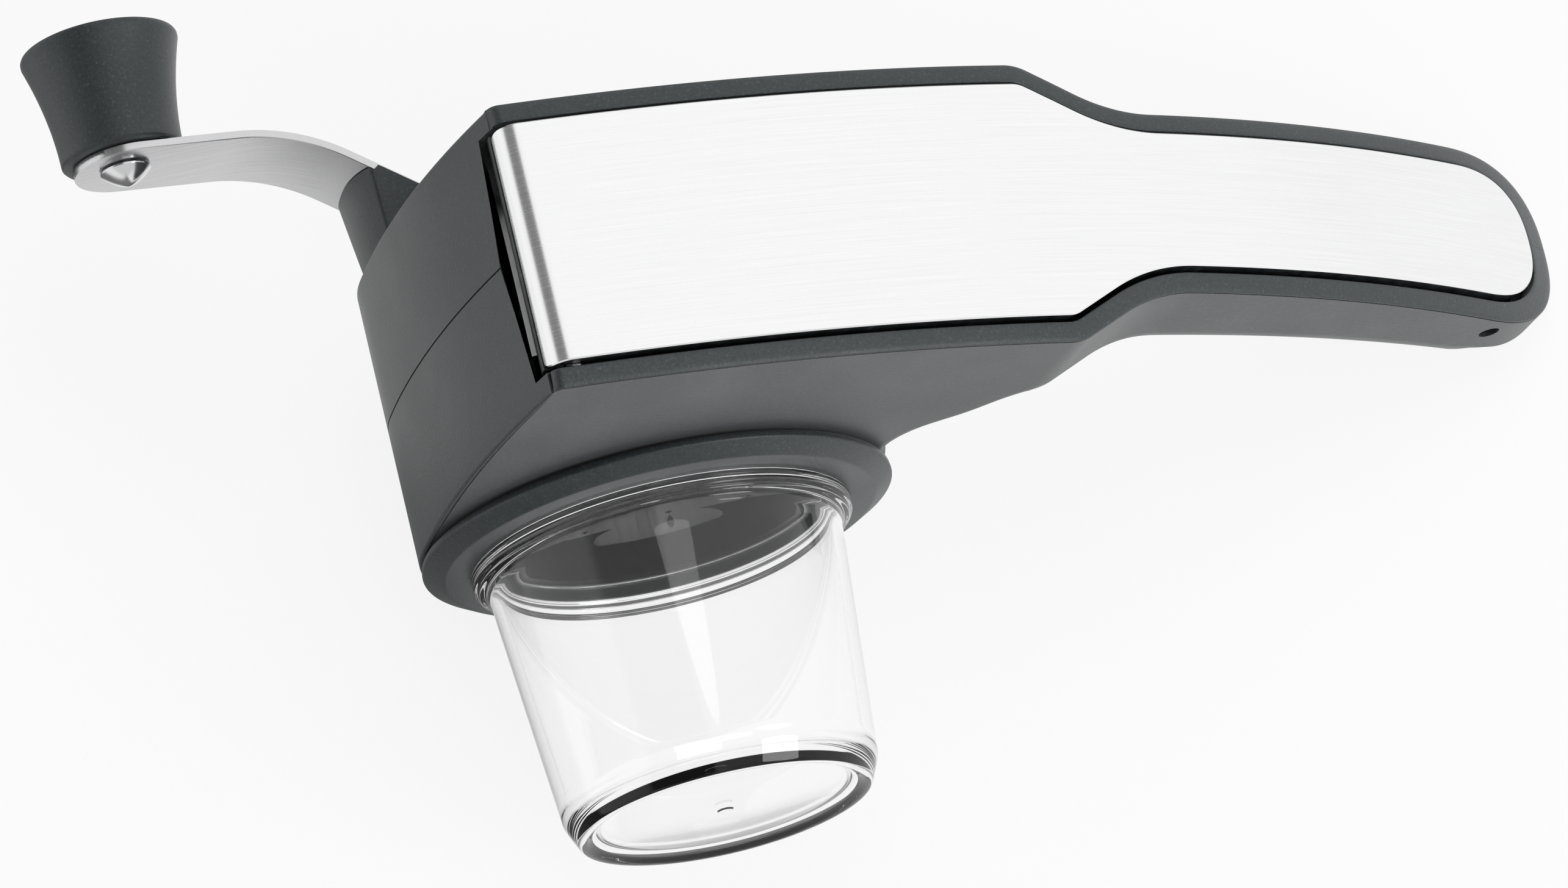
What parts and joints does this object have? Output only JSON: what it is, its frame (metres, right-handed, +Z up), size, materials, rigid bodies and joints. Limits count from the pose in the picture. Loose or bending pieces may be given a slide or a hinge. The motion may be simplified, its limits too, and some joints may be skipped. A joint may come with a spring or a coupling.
{
  "type": "hand cranked drum grater",
  "caption": "Hand cranked drum grater with a squeeze lever over its hopper, a strap crank with a turning knob, a shaped handle and a clear catch jar.",
  "frame": {"origin": "middle of the bounding box, on the table that the grater lies on", "axes": "+Z up, from the table through the steel lever; +X towards the handle's tip; +Y towards the crank; the jar points to -Y. The drum turns about a line along Y"},
  "size_m": [0.27, 0.1584, 0.1286],
  "materials": {
    "grey_plastic": "fine moulded texture",
    "black_plastic": "glossy",
    "brushed_steel": "brushed",
    "bright_steel": "bright",
    "clear_plastic": "clear and glossy"
  },
  "bodies": {
    "housing": {"housing_jar_side": "grey_plastic", "housing_crank_side": "grey_plastic", "housing_screw_nose": "bright_steel", "housing_screw_neck": "bright_steel", "housing_screw_handle": "bright_steel", "housing_screw_drum": "bright_steel", "collar_ring": "grey_plastic", "shaft_bush": "black_plastic", "lever_pin": "bright_steel", "feed_chute": "grey_plastic"},
    "lever": {"lever_plate": "brushed_steel", "lever_core": "black_plastic", "press_foot": "grey_plastic", "foot_screw_front": "bright_steel", "foot_screw_rear": "bright_steel"},
    "crank": {"grating_drum": "bright_steel", "drum_rim": "black_plastic", "drum_hub": "black_plastic", "drive_shaft": "bright_steel", "crank_arm": "brushed_steel", "crank_hub": "grey_plastic", "crank_screw": "bright_steel", "knob_washer": "bright_steel", "knob_rivet": "bright_steel"},
    "knob": {"knob": "grey_plastic", "knob_cap": "grey_plastic"},
    "jar": {"jar": "clear_plastic"}
  },
  "joints": [
    {"name": "crank_turn", "type": "hinge", "parent": "housing", "child": "crank", "pos_m": [-0.04059, 0.0049, 0.0435], "axis": [0, 1, 0], "continuous": true},
    {"name": "knob_spin", "type": "hinge", "parent": "crank", "child": "knob", "pos_m": [-0.12058, 0.0049, 0.06915], "axis": [0, 1, 0], "continuous": true},
    {"name": "lever_open", "type": "hinge", "parent": "housing", "child": "lever", "pos_m": [-0.05358, 0.0049, 0.12286], "axis": [0, -1, 0], "range_deg": [0, 95]},
    {"name": "jar_pull", "type": "slide", "parent": "housing", "child": "jar", "axis": [0, -1, 0], "range_m": [0, 0.03]}
  ]
}
